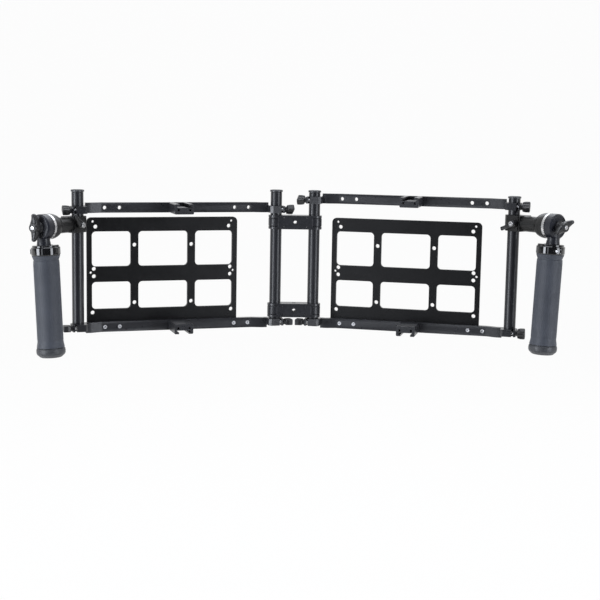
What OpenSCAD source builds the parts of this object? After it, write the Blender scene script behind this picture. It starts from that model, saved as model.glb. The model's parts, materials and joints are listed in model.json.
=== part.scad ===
// Hinged twin monitor cage with two rosette hand grips, in millimetres.
// Origin: centre of the lower hinge link's underside. +Z up, +X to the right, -Y to the front.
// A cage is drawn on the right, seen along its bars, and mirrored for the left.

/* [Rods] */
// Diameter of the four upright rods
rod_d = 15; // [12:0.5:19]
// Length of each rod
rod_l = 176; // [150:0.5:240]
// Tapped hole in each rod end
rod_thread_d = 10.2; // [8:0.1:10.5]
// Depth of the tapped hole
rod_thread_l = 16; // [12:1:30]
// How far a rod cap stands out past the rod
cap_lip = 0.9; // [0.4:0.1:2]
// Thickness of a rod cap
cap_h = 2.6; // [2:0.1:5]
// Height of the groove under a rod cap
cap_groove = 0.6; // [0.3:0.1:1.5]
// Length of the cap's stud in the rod
cap_stud_l = 10; // [6:0.5:11]

/* [Hinge links] */
// Distance between the two inner rods
hinge_pitch = 50.5; // [50.5:0.5:80]
// Wall of a link, and of a hinge collar, round its rod
link_wall = 2.5; // [1.5:0.1:5]
// Height of a hinge link
link_h = 18; // [14:0.5:30]
// Thickness of a link's fork arms
fork_t = 3; // [2:0.1:4.5]
// Drop of the upper link's top under the rods' tops
upper_link_drop = 30; // [28:0.5:60]
// Tapped holes for quarter inch screws
thread_d = 5.1; // [4:0.1:6.5]
// Depth of the tapped holes in the lower link's top and underside
stand_thread_l = 6; // [4:0.5:6]
// Relief hole at the root of a fork slot
relief_d = 1.4; // [0.8:0.1:2]
// Chamfer of the hinge collars
hinge_chamfer = 0.8; // [0.3:0.1:1.2]
// Set screw of a hinge collar
collar_screw_d = 3; // [2:0.5:4]

/* [Bars] */
// Distance between a cage's two rods
bar_w = 261; // [240:1:320]
// Height of a bar
bar_h = 13; // [11:0.5:18]
// Thickness of a bar
bar_t = 7; // [6:0.5:9]
// Set-back of a bar's middle run behind the rods
bar_setback = 10; // [8:0.5:14]
// Set-back of a bar's end runs behind the rods
end_setback = 5.5; // [4:0.5:6]
// Distance from the rod at which the bar starts to step back
jog_start = 17.4; // [15:0.2:20]
// Distance from the rod at which the step back ends
jog_end = 30.4; // [28:0.2:32]
// Distance from the rod to the first tapped hole
hole_first = 35.5; // [34:0.5:40]
// Distance from the rod to the second tapped hole
hole_second = 54.5; // [50:0.5:70]
// Distance from the rod to the shoulder where the bar drops to its clamp
shoulder_x = 10.2; // [9.8:0.2:13]
// Fillet of that shoulder
shoulder_r = 1.5; // [1:0.1:3]
// Room between the lower bars and the lower link
bar_room = 2; // [1:0.1:5]

/* [Bar clamps] */
// Height of a bar's rod clamp
clamp_h = 9; // [8:0.5:10.5]
// Wall of the clamp round the rod
clamp_wall = 2.5; // [1.5:0.1:4]
// Clamp jaw past the rod's side, on the screw side
jaw_outer_wall = 1; // [0.6:0.1:2]
// Clamp jaw past the rod's side, on the bar side
jaw_inner_wall = 3.5; // [2:0.1:5]
// Chamfer of the jaw's front corner on the bar side
jaw_chamfer = 3; // [1:0.1:4]
// Front wall of the jaw over its screw
jaw_front_wall = 1.4; // [1:0.1:3]
// Thickness of the loose ear of the clamp
ear_t = 2.8; // [2:0.1:3.5]
// Width of the clamp's slit
slit_w = 2.5; // [1.5:0.1:3]
// Diameter of the clamp screw
screw_d = 4; // [3:0.5:5]
// Wall between the rod and the clamp screw
screw_wall = 0.5; // [0.4:0.1:1.5]
// How far the clamp screw reaches into the jaw past the slit
screw_reach = 9; // [6:0.5:10]
// Half width of a thumbscrew's wings
wing_r = 6.4; // [5:0.1:6.6]
// Thickness of the wings
wing_t = 8; // [5:0.1:9]
// Length of the wings along the screw
wing_l = 10.6; // [7:0.1:10.8]
// Collar between the wings and the clamp
thumb_collar_l = 2; // [1:0.1:2.2]
// Diameter of that collar
thumb_collar_d = 7.6; // [6:0.1:9]

/* [Cold shoes] */
// Outer width of a shoe
shoe_w = 24.5; // [23.5:0.1:30]
// Reach of a shoe in front of the rods
shoe_front = 31; // [20:0.5:45]
// Width of the shoe's slot
slot_w = 18.7; // [18:0.1:19.5]
// Height of the slot
slot_h = 2.3; // [2:0.1:3]
// Width of the mouth between the lips
mouth_w = 12.7; // [11:0.1:14]
// Thickness of the lips
lip_t = 2.3; // [1.5:0.1:3]
// Distance between the shoe's two screws
shoe_screw_pitch = 14.8; // [10:0.1:15]
// Depth of the shoe's screws below the slot
shoe_screw_drop = 2.9; // [2.5:0.1:4]
// Diameter of the shoe's screws
shoe_screw_d = 3; // [2.5:0.5:3]
// Length of the shoe's screws past the bar
shoe_screw_l = 12; // [8:1:18]

/* [Back plate] */
// Thickness of a back plate
plate_t = 4; // [3:0.5:6]
// Width of a back plate
plate_w = 198.4; // [190:0.2:204]
// Drop of the plate's top under the upper link's top
plate_drop = 3; // [2:0.5:20]
// Distance from each cage's left-hand rod to its plate, left and right cage
plate_start = [13.2, 21.6];
// Radius of the plate's corners
plate_r = 6; // [3:0.5:10]
// Width of the plate's side rails
side_rail = 6.6; // [5:0.2:12]
// Width of the plate's middle rail
mid_rail = 20; // [16:0.5:26]
// Height of the plate under its lower windows
foot_rail = 28; // [24:0.5:32]
// Height of the plate over its upper windows
head_rail = 18; // [14:0.5:22]
// Radius of the windows' corners
window_r = 5; // [2:0.5:8]
// Distance between the two ribs and between their holes
vesa_pitch = 75; // [70:1:80]
// Width of the ribs
rib_w = 10; // [8:0.5:14]
// Diameter of the plate's larger holes
plate_hole_d = 5.1; // [4:0.1:6]
// Diameter of the plate's smaller holes
plate_pin_d = 3; // [2:0.1:4]
// Top corner hole, in from the side and down from the top
corner_hole = [11.4, 11.8];
// Top corner pin hole, in from the side and down from the top
corner_pin = [7.9, 5.2];
// Pair of side holes, in from the side and up and down from the side group's middle
side_hole = [9.2, 4.8];
// Side pin hole, in from the side
side_pin = 5.2; // [4:0.1:7]
// Lift of the side group's middle over the middle rail's middle
side_lift = 2.2; // [0:0.1:4]
// Foot hole, in from the side and down from the lower windows
foot_hole = [7.4, 4.5];

/* [Handle clamps] */
// Height of a handle clamp
grip_clamp_h = 20; // [16:0.5:24]
// Wall of a handle clamp round its rod
grip_clamp_wall = 3.5; // [2.5:0.1:5]
// Distance from the rod to the lever's screw
lever_x = 12; // [11.5:0.1:13]
// Diameter of the lever's screw
lever_screw_d = 5; // [4:0.5:6]
// Width of the handle clamp's slit
grip_slit_w = 1.5; // [1:0.1:2]
// Length of the clamp lever
lever_l = 20; // [15:0.5:24]
// Length of the lever's hub
lever_hub_l = 7; // [5:0.5:9]
// Diameter of the lever's hub
lever_hub_d = 9; // [8:0.5:9.5]
// Diameter of the stem to the rosette
stem_d = 19.6; // [16:0.2:20]
// Length of the stem's flare to the rosette
flare_l = 13; // [8:0.5:18]
// Distance from the rod to the silver rosette's back
rosette_x = 58.4; // [50:0.2:70]
// Diameter of the rosettes
rosette_d = 31.4; // [26:0.2:36]
// Thickness of the silver rosette with its teeth
rosette_t = 4; // [3:0.1:6]
// Depth of the teeth at the rim
tooth_h = 0.9; // [0.5:0.1:1.2]
// Number of teeth round a rosette
tooth_count = 40; // [24:4:60]
// Diameter of the smooth middle of a rosette
rosette_mid_d = 15; // [12:0.5:18]
// Diameter of the stud through the rosettes
stud_d = 6; // [5:0.5:8]
// Depth of the stud in the stem
stud_root = 24; // [16:0.5:30]

/* [Hand grips] */
// Thickness of a grip's head
head_t = 11; // [10:0.1:16]
// Depth of the ring-shaped recess in the head's outer face
head_recess = 0.6; // [0.4:0.1:2]
// How far the grip's axis lies behind the head's middle
grip_back = 4.8; // [3:0.1:9]
// How far the neck's axis lies behind the head's middle
neck_back = 2; // [1:0.1:3]
// Width of the neck under the head
neck_d = 16; // [13:0.5:18]
// Drop from the rosette's axis to the collar
collar_drop = 22; // [20:0.5:30]
// Height of the collar
collar_h = 12.5; // [9:0.5:16]
// Diameter of the collar
collar_d = 35.4; // [34.6:0.2:40]
// Length of the rubber sleeve
rubber_l = 113.5; // [90:0.5:130]
// Diameter of the rubber sleeve
rubber_d = 31.6; // [28:0.2:33]
// Height of the flares at the sleeve's ends
flare_h = 6; // [4:0.5:10]
// Height of the end cap
end_cap_h = 12; // [10:0.5:20]
// Diameter of the core inside the sleeve
core_d = 18; // [14:0.5:22]
// Reach of a wing nut's wings from its axis
nut_r = 17; // [13:0.5:18]
// Thickness of the wing nut's wings
nut_t = 4.4; // [3:0.1:6]
// Height of the wing nut's hub
nut_h = 11.6; // [8:0.2:12.4]

/* [Set-up] */
// Turn of each cage forward of the hinge links
swing = 15.8; // [0:0.1:30]
// Lift of the left top bar over the upper link
left_bar_lift = 3.4; // [3:0.1:12]
// Drop of the right top bar's clamps under the rod caps
right_bar_drop = 4.8; // [1:0.1:12]
// Room over the handle clamps, left and right
clamp_room = [3.3, 6.5];
// Turn of the handles forward of their cage, left and right
handle_swivel = [43, 37.4];
// Lean of both grips
handle_tilt = 3.2; // [0:0.1:10]
// Turn of the clamp levers above the stem, left and right
lever_turn = [43, 204];
// Turn of the wing nuts from upright, left and right
nut_turn = [0, -62];

/* [Clearances] */
// Gap round a rod or pin that turns or slides
run_gap = 0.05; // [0.02:0.01:0.08]
// Gap between flat faces that pass each other
face_gap = 0.3; // [0.2:0.05:0.5]
// Gap between the two rosettes' teeth
mesh_gap = 0.2; // [0.1:0.05:0.4]
// Gap round a screw's shank in a plain hole
screw_gap = 0.15; // [0.1:0.05:0.3]

/* [Hidden] */
$fn = 64;
SIDES = [-1, 1];
PIECES = ["inner_rod", "inner_cap", "hinge_collars", "collar_screws", "lower_bar", "lower_shoe",
    "lower_shoe_screws", "back_plate", "plate_screws", "top_bar", "top_shoe", "top_shoe_screws",
    "outer_rod", "outer_cap", "handle_clamp", "rosette", "rosette_stud", "clamp_lever", "lever_screw",
    "handle_head", "grip_collar", "grip_rubber", "grip_end_cap", "wing_nut",
    "thumb_top_outer", "thumb_top_inner", "thumb_low_outer", "thumb_low_inner"];
function side_name(side) = side < 0 ? "left" : "right";
function node_name(side, piece) = str(side_name(side), "_", piece);

// A pair of values, left first, for one side
function of_side(pair, side) = pair[side < 0 ? 0 : 1];

// Colours
BLACK = [0.11, 0.11, 0.12];
DARK = [0.17, 0.17, 0.18];
GLOSS = [0.05, 0.05, 0.06];
RUBBER = [0.28, 0.29, 0.33];
SILVER = [0.80, 0.80, 0.82];

// Rods and caps
rod_r = rod_d / 2;
bore_r = rod_r + run_gap;
rod_foot = -bar_room - clamp_h;
rod_top = rod_foot + rod_l;
cap_d = rod_d + 2 * cap_lip;
cap_stud_d = rod_thread_d - 2 * run_gap;

// Hinge links
links_apart = rod_top - upper_link_drop - link_h;
link_d = rod_d + 2 * link_wall;
collar_gap_h = link_h - 2 * fork_t;
slot_r = link_d / 2 + face_gap;

// Bars in plan: front and back faces of the middle and end runs
bar_front = bar_setback - bar_t / 2;
bar_back = bar_setback + bar_t / 2;
end_front = end_setback - bar_t / 2;
end_back = end_setback + bar_t / 2;
jog_angle = atan2(bar_setback - end_setback, jog_end - jog_start);
jog_trim = bar_t * tan(jog_angle / 2);
bar_holes = [hole_first, hole_second, bar_w - hole_second, bar_w - hole_first];
left_bar_z = links_apart + link_h + left_bar_lift;
right_bar_z = rod_top - right_bar_drop - clamp_h;
function top_bar_z(side) = side < 0 ? left_bar_z : right_bar_z;
lower_bar_z = -bar_room - bar_h;

// Bar clamps, from the rod's axis
clamp_od = rod_d + 2 * clamp_wall;
jaw_outer = rod_r + jaw_outer_wall;
jaw_inner = rod_r + jaw_inner_wall;
screw_y = rod_r + screw_wall + 2 * run_gap + screw_d / 2;
clamp_front = screw_y + screw_d / 2 + jaw_front_wall;
slit_x = -jaw_outer + ear_t;
ear_corner = 1;

// Cold shoes
shoe_base = bar_h - lip_t - slot_h;
shoe_screw_z = shoe_base - shoe_screw_drop;
shoe_screw_head_d = 1.8 * shoe_screw_d;
shoe_screw_head_h = shoe_screw_d;
shoe_chamfer = 1;

// Back plates
plate_foot = lower_bar_z + 1;
plate_h = links_apart + link_h - plate_drop - plate_foot;
vesa_mid = plate_h / 2;
low_window = [foot_rail, vesa_mid - mid_rail / 2];
high_window = [vesa_mid + mid_rail / 2, plate_h - head_rail];
plate_wall = 2;
hex_d = 0.58 * thread_d;
hex_l = 3;
function plate_mid(side) = side < 0 ? bar_w - plate_start[0] - plate_w / 2 : plate_start[1] + plate_w / 2;
// Whether a hole at u along the bar lies inside the plate
function plate_covers(side, u) = abs(u - plate_mid(side)) < plate_w / 2 - thread_d / 2 - plate_wall;

// Handle clamps, rosettes and grips, along the stem from the rod's axis
grip_clamp_od = rod_d + 2 * grip_clamp_wall;
grip_clamp_l = lever_x + lever_screw_d / 2 + 4.5;
finger_y = grip_clamp_od / 2 - 5.2;
finger_end = grip_clamp_l - 2 * grip_slit_w;
rosette_rim = 0.12 * rosette_d;
head_x = rosette_x + rosette_t + mesh_gap;
grip_x = head_x + head_t / 2 - grip_back;
neck_x = head_x + head_t / 2 - neck_back;
nut_x = head_x + head_t + face_gap;
stud_end = nut_x + nut_h + stud_d / 15;
stud_start = rosette_x - stud_root;
foot_d = neck_d + 1.2;
foot_h = collar_h / 5;
rubber_top = collar_drop + collar_h;
cap_top = rubber_top + rubber_l;
function handle_z(side) = top_bar_z(side) - of_side(clamp_room, side) - grip_clamp_h / 2;

// Turn of each thumbscrew from level: top outer, top inner, low outer, low inner
THUMB_TURNS = [[25, -35, 0, 0], [40, 30, 62, 0]];

// Placing modules

module on_side(side) {
    if (side < 0) mirror([1, 0, 0]) children();
    else children();
}

// Cage frame: inner rod on the Z axis, outer rod at bar_w along +X
module in_cage(side) {
    on_side(side) translate([hinge_pitch / 2, 0, 0]) rotate([0, 0, -swing]) children();
}

// Handle frame: outer rod on the Z axis, stem along +X at Z = 0
module in_handle(side) {
    in_cage(side) translate([bar_w, 0, handle_z(side)])
        rotate([0, 0, -of_side(handle_swivel, side)]) children();
}

// Grip frame: as the handle frame, leaned about the stem
module in_grip(side) {
    in_handle(side) rotate([-handle_tilt, 0, 0]) children();
}

module in_top_bar(side) {
    in_cage(side) translate([0, 0, top_bar_z(side)]) children();
}

// The lower bar is the top bar turned over
module in_lower_bar(side) {
    in_cage(side) translate([bar_w, 0, lower_bar_z + bar_h]) rotate([0, 180, 0]) children();
}

module along_x() {
    rotate([0, 90, 0]) children();
}

module along_y() {
    rotate([-90, 0, 0]) children();
}

// Hinge

module hinge_link(z, stand_threads) {
    color(DARK) translate([0, 0, z]) difference() {
        linear_extrude(link_h) union() {
            square([hinge_pitch, link_d], center = true);
            for (side = SIDES) translate([side * hinge_pitch / 2, 0]) circle(d = link_d);
        }
        for (side = SIDES) translate([side * hinge_pitch / 2, 0, 0]) {
            translate([0, 0, -1]) cylinder(r = bore_r, h = link_h + 2);
            translate([0, 0, fork_t]) cylinder(r = slot_r, h = collar_gap_h);
            for (z = [fork_t, link_h - fork_t])
                translate([-side * slot_r, -link_d, z]) along_y() cylinder(d = relief_d, h = 2 * link_d);
        }
        translate([0, -link_d, link_h / 2]) along_y() cylinder(d = thread_d, h = 2 * link_d);
        if (stand_threads) {
            translate([0, 0, -1]) cylinder(d = thread_d, h = stand_thread_l + 1);
            translate([0, 0, link_h - stand_thread_l]) cylinder(d = thread_d, h = stand_thread_l + 1);
        }
    }
}

module hinge_link_upper() { hinge_link(links_apart, false); }

module hinge_link_lower() { hinge_link(0, true); }

// Two collars, fixed on the inner rod inside the links' forks
module at_collars() {
    for (z = [0, links_apart]) translate([0, 0, z + link_h / 2]) children();
}

module hinge_collars(side) {
    collar_h = collar_gap_h - 2 * face_gap;
    color(BLACK) in_cage(side) at_collars() difference() {
        rotate_extrude() polygon([[0, -collar_h / 2], [link_d / 2 - hinge_chamfer, -collar_h / 2],
            [link_d / 2, -collar_h / 2 + hinge_chamfer], [link_d / 2, collar_h / 2 - hinge_chamfer],
            [link_d / 2 - hinge_chamfer, collar_h / 2], [0, collar_h / 2]]);
        cylinder(r = rod_r + run_gap / 2, h = collar_h + 1, center = true);
        along_y() cylinder(d = collar_screw_d + 2 * run_gap, h = link_d);
    }
}

module collar_screws(side) {
    screw_l = link_d / 2 - rod_r - run_gap;
    color(SILVER) in_cage(side) at_collars() along_y() translate([0, 0, rod_r + run_gap / 2]) difference() {
        cylinder(d = collar_screw_d, h = screw_l);
        translate([0, 0, screw_l / 2]) cylinder(d = collar_screw_d / 2, h = screw_l, $fn = 6);
    }
}

// Rods

module rod_shape() {
    translate([0, 0, rod_foot]) difference() {
        cylinder(d = rod_d, h = rod_l);
        translate([0, 0, -1]) cylinder(d = rod_thread_d, h = rod_thread_l + 1);
        translate([0, 0, rod_l - rod_thread_l]) cylinder(d = rod_thread_d, h = rod_thread_l + 1);
    }
}

module cap_shape() {
    translate([0, 0, rod_top]) {
        translate([0, 0, -cap_stud_l]) cylinder(d = cap_stud_d, h = cap_stud_l + cap_groove);
        cylinder(d = rod_d - 1.4, h = cap_groove);
        translate([0, 0, cap_groove]) rotate_extrude() difference() {
            square([cap_d / 2, cap_h]);
            translate([cap_d / 2, cap_h]) rotate(45) square(0.7, center = true);
            translate([0, cap_h - 0.5]) square([cap_d / 2 - 1.6, 1]);
        }
    }
}

module inner_rod(side) { color(BLACK) in_cage(side) rod_shape(); }

module inner_cap(side) { color(DARK) in_cage(side) cap_shape(); }

module outer_rod(side) { color(BLACK) in_cage(side) translate([bar_w, 0, 0]) rod_shape(); }

module outer_cap(side) { color(DARK) in_cage(side) translate([bar_w, 0, 0]) cap_shape(); }

// Bars

module bar_plan() {
    polygon([[0, end_front], [jog_start, end_front], [jog_end, bar_front],
        [bar_w - jog_end, bar_front], [bar_w - jog_start, end_front], [bar_w, end_front],
        [bar_w, end_back], [bar_w - jog_start + jog_trim, end_back], [bar_w - jog_end + jog_trim, bar_back],
        [jog_end - jog_trim, bar_back], [jog_start - jog_trim, end_back], [0, end_back]]);
}

// Concave fillet from the bar's shoulder down to the clamp's top
module shoulder_fillet() {
    translate([shoulder_x - shoulder_r, clamp_h]) difference() {
        square(shoulder_r);
        translate([0, shoulder_r]) circle(shoulder_r);
    }
}

module bar_elevation() {
    square([bar_w, clamp_h]);
    translate([shoulder_x, 0]) square([bar_w - 2 * shoulder_x, bar_h]);
    shoulder_fillet();
    translate([bar_w, 0]) mirror([1, 0]) shoulder_fillet();
}

// Children at both rods, each with the bar along +X
module at_bar_ends() {
    children();
    translate([bar_w, 0, 0]) mirror([1, 0, 0]) children();
}

module jaw_plan() {
    circle(d = clamp_od);
    polygon([[-jaw_outer, 0], [-jaw_outer, -clamp_front + ear_corner], [-jaw_outer + ear_corner, -clamp_front],
        [jaw_inner - jaw_chamfer, -clamp_front], [jaw_inner, -clamp_front + jaw_chamfer],
        [jaw_inner, end_back], [0, end_back]]);
}

module jaw_cuts() {
    translate([0, 0, -1]) cylinder(r = bore_r, h = bar_h + 2);
    translate([slit_x, -clamp_front - 1, -1])
        cube([slit_w, clamp_front + 1 - rod_d / 3, bar_h + 2]);
    translate([0, -screw_y, clamp_h / 2]) along_x() {
        translate([0, 0, -jaw_outer - 1]) cylinder(d = screw_d + 2 * screw_gap, h = ear_t + 1 + slit_w / 2);
        translate([0, 0, slit_x]) cylinder(d = screw_d + 2 * run_gap, h = slit_w + screw_reach);
    }
}

module at_shoe_screws() {
    for (x = [-1, 1]) translate([bar_w / 2 + x * shoe_screw_pitch / 2, 0, shoe_screw_z]) children();
}

module bar_shape() {
    difference() {
        union() {
            intersection() {
                linear_extrude(bar_h) bar_plan();
                translate([0, bar_back + 1, 0]) rotate([90, 0, 0]) linear_extrude(2 * bar_back) bar_elevation();
            }
            at_bar_ends() linear_extrude(clamp_h) jaw_plan();
        }
        at_bar_ends() jaw_cuts();
        for (x = bar_holes) translate([x, 0, bar_h / 2]) along_y() cylinder(d = thread_d, h = 2 * bar_back);
        at_shoe_screws() along_y() {
            cylinder(d = shoe_screw_d + 2 * screw_gap, h = 2 * bar_back);
            translate([0, 0, bar_back - shoe_screw_head_h]) cylinder(d = shoe_screw_head_d + 0.4, h = bar_t);
        }
    }
}

module top_bar(side) { color(DARK) in_top_bar(side) bar_shape(); }

module lower_bar(side) { color(DARK) in_lower_bar(side) bar_shape(); }

// Cold shoes

module shoe_profile() {
    difference() {
        translate([-shoe_w / 2, 0]) square([shoe_w, bar_h]);
        translate([-slot_w / 2, shoe_base]) square([slot_w, slot_h]);
        translate([-mouth_w / 2, shoe_base]) square([mouth_w, bar_h]);
        for (x = [-1, 1]) for (z = [0, bar_h])
            translate([x * shoe_w / 2, z]) rotate(45) square(shoe_chamfer * sqrt(2), center = true);
    }
}

module shoe_shape() {
    difference() {
        translate([bar_w / 2, bar_front, 0]) rotate([90, 0, 0])
            linear_extrude(bar_front + shoe_front) shoe_profile();
        at_shoe_screws() translate([0, -shoe_front - 1, 0]) along_y()
            cylinder(d = shoe_screw_d + 2 * run_gap, h = shoe_front + bar_back);
    }
}

module shoe_screw_shapes() {
    at_shoe_screws() translate([0, bar_back, 0]) rotate([90, 0, 0]) difference() {
        union() {
            cylinder(d = shoe_screw_head_d, h = shoe_screw_head_h);
            cylinder(d = shoe_screw_d, h = bar_t + shoe_screw_l);
        }
        translate([0, 0, -1]) cylinder(d = 0.5 * shoe_screw_head_d, h = 1 + 0.6 * shoe_screw_head_h, $fn = 6);
    }
}

module top_shoe(side) { color(DARK) in_top_bar(side) shoe_shape(); }

module lower_shoe(side) { color(DARK) in_lower_bar(side) shoe_shape(); }

module top_shoe_screws(side) { color(SILVER) in_top_bar(side) shoe_screw_shapes(); }

module lower_shoe_screws(side) { color(SILVER) in_lower_bar(side) shoe_screw_shapes(); }

// Back plate

module rounded_box(x0, z0, x1, z1, r) {
    translate([x0 + r, z0]) square([x1 - x0 - 2 * r, z1 - z0]);
    translate([x0, z0 + r]) square([x1 - x0, z1 - z0 - 2 * r]);
    for (x = [x0 + r, x1 - r]) for (z = [z0 + r, z1 - r]) translate([x, z]) circle(r);
}

// Windows in three columns, split by the two ribs, in two rows
module plate_windows() {
    edges = [-plate_w / 2 + side_rail, -(vesa_pitch + rib_w) / 2, -(vesa_pitch - rib_w) / 2];
    for (row = [low_window, high_window]) {
        rounded_box(edges[2], row[0], -edges[2], row[1], window_r);
        for (mirrored = [0, 1]) mirror([mirrored, 0])
            rounded_box(edges[0], row[0], edges[1], row[1], window_r);
    }
}

module plate_hole_plan() {
    half = plate_w / 2;
    side_mid = vesa_mid + side_lift;
    for (mirrored = [0, 1]) mirror([mirrored, 0]) {
        translate([half - corner_hole[0], plate_h - corner_hole[1]]) circle(d = plate_hole_d);
        translate([half - corner_pin[0], plate_h - corner_pin[1]]) circle(d = plate_pin_d);
        for (z = [-1, 1]) translate([half - side_hole[0], side_mid + z * side_hole[1]]) circle(d = plate_hole_d);
        translate([half - side_pin, side_mid]) circle(d = plate_pin_d);
        translate([half - foot_hole[0], low_window[0] - foot_hole[1]]) circle(d = plate_hole_d);
        for (z = [-1, 1]) translate([vesa_pitch / 2, vesa_mid + z * vesa_pitch / 2]) circle(d = plate_hole_d);
    }
}

module back_plate(side) {
    color(BLACK) in_cage(side) translate([plate_mid(side), bar_back + plate_t, plate_foot])
        rotate([90, 0, 0]) linear_extrude(plate_t) difference() {
            rounded_box(-plate_w / 2, 0, plate_w / 2, plate_h, plate_r);
            plate_windows();
            plate_hole_plan();
            for (u = bar_holes) if (plate_covers(side, u))
                translate([u - plate_mid(side), lower_bar_z + bar_h / 2 - plate_foot]) circle(d = thread_d);
        }
}

// Socket screws in the lower bar, longer where they hold the plate
module plate_screws(side) {
    sink = 0.4;
    color(SILVER) in_cage(side) for (u = bar_holes)
        translate([u, bar_front + sink, lower_bar_z + bar_h / 2]) along_y() difference() {
            cylinder(d = thread_d - 2 * run_gap, h = bar_t - sink + (plate_covers(side, u) ? plate_t : 0));
            translate([0, 0, -1]) cylinder(d = hex_d, h = hex_l + 1, $fn = 6);
        }
}

// Thumbscrews of the bar clamps

module thumbscrew(turn) {
    tip = jaw_outer + face_gap + thumb_collar_l + wing_l;
    color(BLACK) translate([0, -screw_y, clamp_h / 2]) rotate([turn, 0, 0]) along_x() mirror([0, 0, 1]) {
        translate([0, 0, -slit_x - slit_w - screw_reach + 1]) cylinder(d = screw_d, h = tip + slit_x + screw_reach);
        translate([0, 0, jaw_outer + face_gap]) cylinder(d = thumb_collar_d, h = thumb_collar_l + 1);
        difference() {
            translate([0, 0, tip - wing_l]) intersection() {
                cylinder(r = wing_r, h = wing_l);
                translate([-wing_t / 2, -wing_r, 0]) cube([wing_t, 2 * wing_r, wing_l]);
                wing_outline();
            }
            translate([0, 0, tip + 0.94 * wing_r]) rotate([0, 90, 0]) cylinder(r = wing_r, h = 2 * wing_r, center = true);
        }
    }
}

// Wings seen on the flat: square at the screw, with rounded tips
module wing_outline() {
    tip_r = wing_r / 2;
    translate([-wing_r, 0, 0]) rotate([90, 0, 90]) linear_extrude(2 * wing_r) {
        translate([-wing_r, 0]) square([2 * wing_r, wing_l - tip_r]);
        translate([-wing_r + tip_r, 0]) square([2 * (wing_r - tip_r), wing_l]);
        for (y = [-1, 1]) translate([y * (wing_r - tip_r), wing_l - tip_r]) circle(tip_r);
    }
}

module thumb_at_inner(turn) { thumbscrew(turn); }

module thumb_at_outer(turn) { translate([bar_w, 0, 0]) mirror([1, 0, 0]) thumbscrew(turn); }

function thumb_turn(side, place) = of_side(THUMB_TURNS, side)[place];

module thumb_top_outer(side) { in_top_bar(side) thumb_at_outer(thumb_turn(side, 0)); }

module thumb_top_inner(side) { in_top_bar(side) thumb_at_inner(thumb_turn(side, 1)); }

// The lower bar is turned over, so its ends change places
module thumb_low_outer(side) { in_lower_bar(side) thumb_at_inner(thumb_turn(side, 2)); }

module thumb_low_inner(side) { in_lower_bar(side) thumb_at_outer(thumb_turn(side, 3)); }

// Handle clamps

module grip_clamp_plan() {
    difference() {
        union() {
            circle(d = grip_clamp_od);
            translate([0, -grip_clamp_od / 2]) square([grip_clamp_l, grip_clamp_od]);
        }
        translate([0, -finger_y - grip_slit_w / 2]) square([finger_end + grip_slit_w, grip_slit_w]);
        translate([finger_end, -grip_clamp_od]) square([grip_slit_w, grip_clamp_od - finger_y]);
    }
}

// Turned stem: a neck that flares to the rosette's seat
module stem_profile() {
    seat = rosette_x - rosette_rim;
    rise = rosette_d / 2 - stem_d / 2;
    polygon(concat([[0, 0], [stem_d / 2, 0]],
        [for (t = [0 : 10 : 90]) [stem_d / 2 + rise * pow(sin(t), 1.4), seat - flare_l * cos(t)]],
        [[rosette_d / 2, rosette_x], [0, rosette_x]]));
}

module handle_clamp(side) {
    color(BLACK) in_handle(side) difference() {
        union() {
            linear_extrude(grip_clamp_h, center = true) grip_clamp_plan();
            intersection() {
                along_x() rotate_extrude() stem_profile();
                translate([finger_end + grip_slit_w, -rosette_d, -rosette_d]) cube(2 * rosette_d);
            }
        }
        cylinder(r = bore_r, h = 2 * grip_clamp_h, center = true);
        translate([lever_x, -grip_clamp_od, 0]) along_y() cylinder(d = lever_screw_d + 2 * run_gap, h = 1.7 * grip_clamp_od);
        translate([stud_start, 0, 0]) along_x() cylinder(d = stud_d, h = rosette_x);
    }
}

// Radial teeth: grooves that deepen from the axis to the rim, each kept inside its own sector
module rosette_grooves() {
    rim = rosette_d / 2;
    pitch = 360 / tooth_count;
    half = rim * tan(0.45 * pitch);
    near = rosette_mid_d / 2 - 0.5;
    far = rim + 1;
    spread = tan(0.48 * pitch);
    for (i = [0 : tooth_count - 1]) rotate([0, 0, i * pitch]) intersection() {
        rotate([0, atan2(tooth_h, rim), 0]) rotate([90, 0, 90]) linear_extrude(2 * rim)
            polygon([[0, 0], [2 * half, 2 * tooth_h], [-2 * half, 2 * tooth_h]]);
        translate([0, 0, -2 * tooth_h]) linear_extrude(2.6 * tooth_h)
            polygon([[near, -near * spread], [far, -far * spread], [far, far * spread], [near, near * spread]]);
    }
}

// A toothed disc with its teeth up at z = t
module rosette_disc(t) {
    difference() {
        cylinder(d = rosette_d, h = t);
        translate([0, 0, t]) rosette_grooves();
        translate([0, 0, t - tooth_h]) cylinder(d = rosette_mid_d, h = t);
        translate([0, 0, -1]) cylinder(d = stud_d + 2 * run_gap, h = t + 2);
    }
}

module rosette(side) {
    color(SILVER) in_handle(side) translate([rosette_x, 0, 0]) along_x() rosette_disc(rosette_t);
}

module rosette_stud(side) {
    chamfer = 0.6;
    color(SILVER) in_handle(side) translate([stud_start, 0, 0]) along_x() {
        cylinder(d = stud_d, h = stud_end - stud_start - chamfer);
        translate([0, 0, stud_end - stud_start - chamfer])
            cylinder(d1 = stud_d, d2 = stud_d - 2 * chamfer, h = chamfer);
    }
}

// Lever frame: its screw along +Z, outward, at the clamp's front face
module at_lever(side) {
    in_handle(side) translate([lever_x, -grip_clamp_od / 2 - face_gap, 0])
        rotate([0, -of_side(lever_turn, side), 0]) rotate([90, 0, 0]) children();
}

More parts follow.
